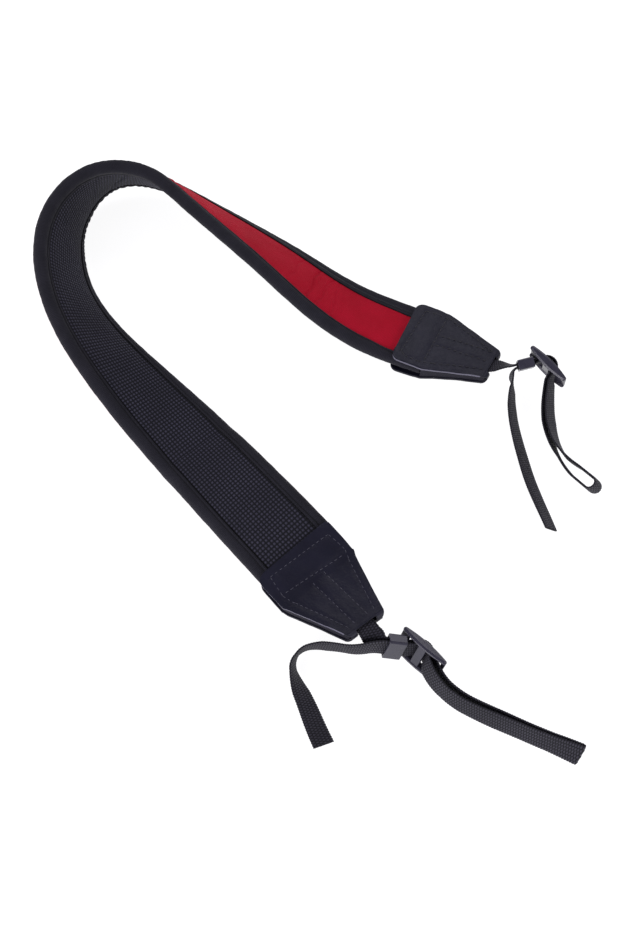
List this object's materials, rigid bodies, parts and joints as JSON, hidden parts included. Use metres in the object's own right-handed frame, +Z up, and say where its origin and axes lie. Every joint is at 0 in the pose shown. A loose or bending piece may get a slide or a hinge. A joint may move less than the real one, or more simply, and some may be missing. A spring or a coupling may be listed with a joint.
{
  "type": "camera neck strap",
  "caption": "Padded neck strap lying in a U with a half twist: grid fabric, red lining, folded leather ends, webbing camera loops with keepers, slide buckles and free tails.",
  "frame": {"origin": "centre of the plan outline, on the floor the strap lies on", "axes": "+Z up from the floor; +X to the side of the two camera loops; the bight of the padded band towards +Y"},
  "size_m": [0.269, 0.3166, 0.0414],
  "materials": {
    "grid_fabric": "black woven grid",
    "red_fabric": "red fine knit",
    "binding": "black knit",
    "leather": "soft sheen",
    "webbing": "black ribbed webbing",
    "nylon": "moulded black nylon"
  },
  "bodies": {
    "root": {"grid_fabric_pad": "grid_fabric", "red_lining": "red_fabric", "edge_binding_outer": "binding", "edge_binding_inner": "binding", "leather_end_lower": "leather", "leather_end_upper": "leather", "webbing_lower": "webbing", "webbing_upper": "webbing", "keeper_lower": "nylon", "keeper_upper": "nylon", "buckle_lower": "nylon", "buckle_upper": "nylon"}
  },
  "joints": []
}
